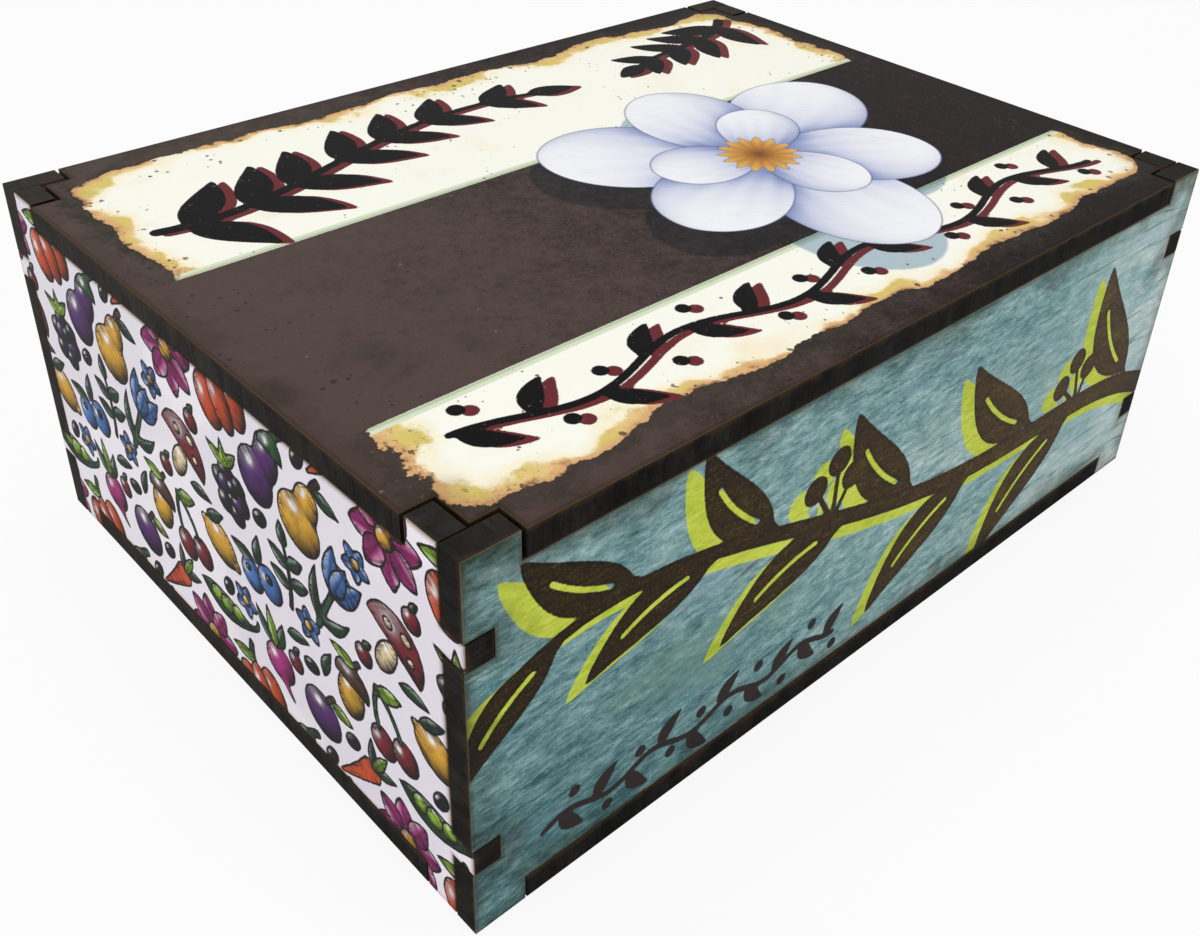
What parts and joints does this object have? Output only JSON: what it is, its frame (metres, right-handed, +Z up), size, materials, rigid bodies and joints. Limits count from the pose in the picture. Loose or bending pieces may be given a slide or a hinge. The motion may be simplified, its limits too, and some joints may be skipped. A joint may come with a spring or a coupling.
{
  "type": "organizer box",
  "caption": "Rectangular finger-jointed wooden organizer box with printed outer faces, crossed inner dividers and a loose lift-off lid held by corner tabs.",
  "frame": {"origin": "middle of the underside", "axes": "+X along the long walls to the right end wall, +Y from the front wall to the back wall, +Z up through the lid"},
  "size_m": [0.233, 0.1728, 0.0913],
  "materials": {
    "long_wall_print": "satin print of weathered teal paint, charred cut edges",
    "end_wall_print": "satin off-white print, charred cut edges",
    "lid_print": "satin dark brown and cream print, charred cut edges",
    "bare_board": "bare fibreboard, charred cut edges",
    "divider_board": "bare fibreboard, charred cut edges"
  },
  "bodies": {
    "case": {"front_wall": "long_wall_print", "back_wall": "long_wall_print", "left_end_wall": "end_wall_print", "right_end_wall": "end_wall_print", "base_plate": "bare_board", "long_divider": "divider_board", "cross_divider_1": "divider_board", "cross_divider_2": "divider_board"},
    "lid": {"lid": "lid_print"}
  },
  "joints": [
    {"name": "lid_lift", "type": "slide", "parent": "case", "child": "lid", "axis": [0, 0, 1], "range_m": [0, 0.12]}
  ]
}
